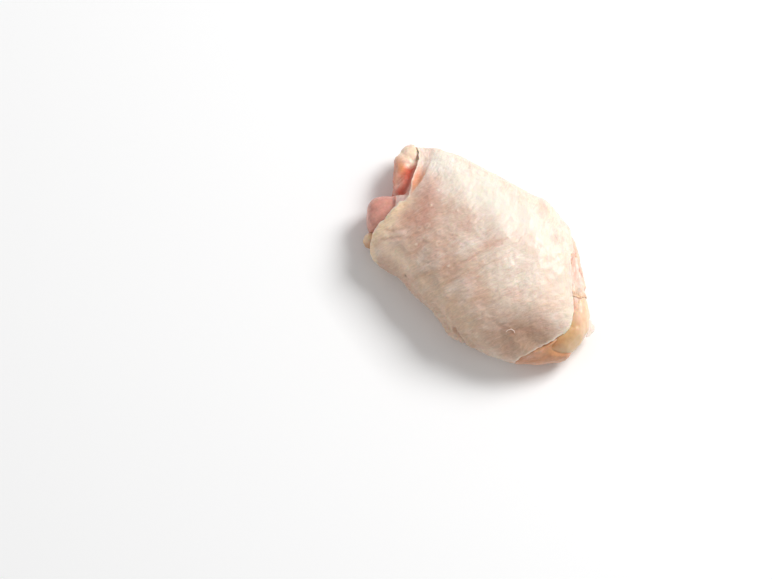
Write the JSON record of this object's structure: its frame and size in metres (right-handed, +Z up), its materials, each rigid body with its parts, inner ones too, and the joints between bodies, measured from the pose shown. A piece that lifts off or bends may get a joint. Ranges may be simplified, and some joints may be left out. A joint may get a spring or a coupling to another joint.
{
  "type": "raw chicken thigh",
  "caption": "Raw chicken thigh lying skin side up, the skin wrapped over the meat, open at the knee end and cut back at the hip end to show flesh and fat.",
  "frame": {"origin": "on the surface the thigh rests on, under the centre of its bounding box", "axes": "+X along the thigh from the knee end to the hip end, +Y across it to the far side, +Z up through the skin side"},
  "size_m": [0.1277, 0.0797, 0.0399],
  "materials": {
    "skin": "raw chicken skin, pale cream to dusty pink, moist, soft sheen, fine pimpled follicles",
    "meat": "raw flesh under its thin membrane, pink to peach, moist, soft sheen",
    "fat": "raw fat, yellowish cream, smooth and moist"
  },
  "bodies": {
    "root": {"skin": "skin", "meat": "meat", "hip_fat": "fat", "knee_fat": "fat"}
  },
  "joints": []
}
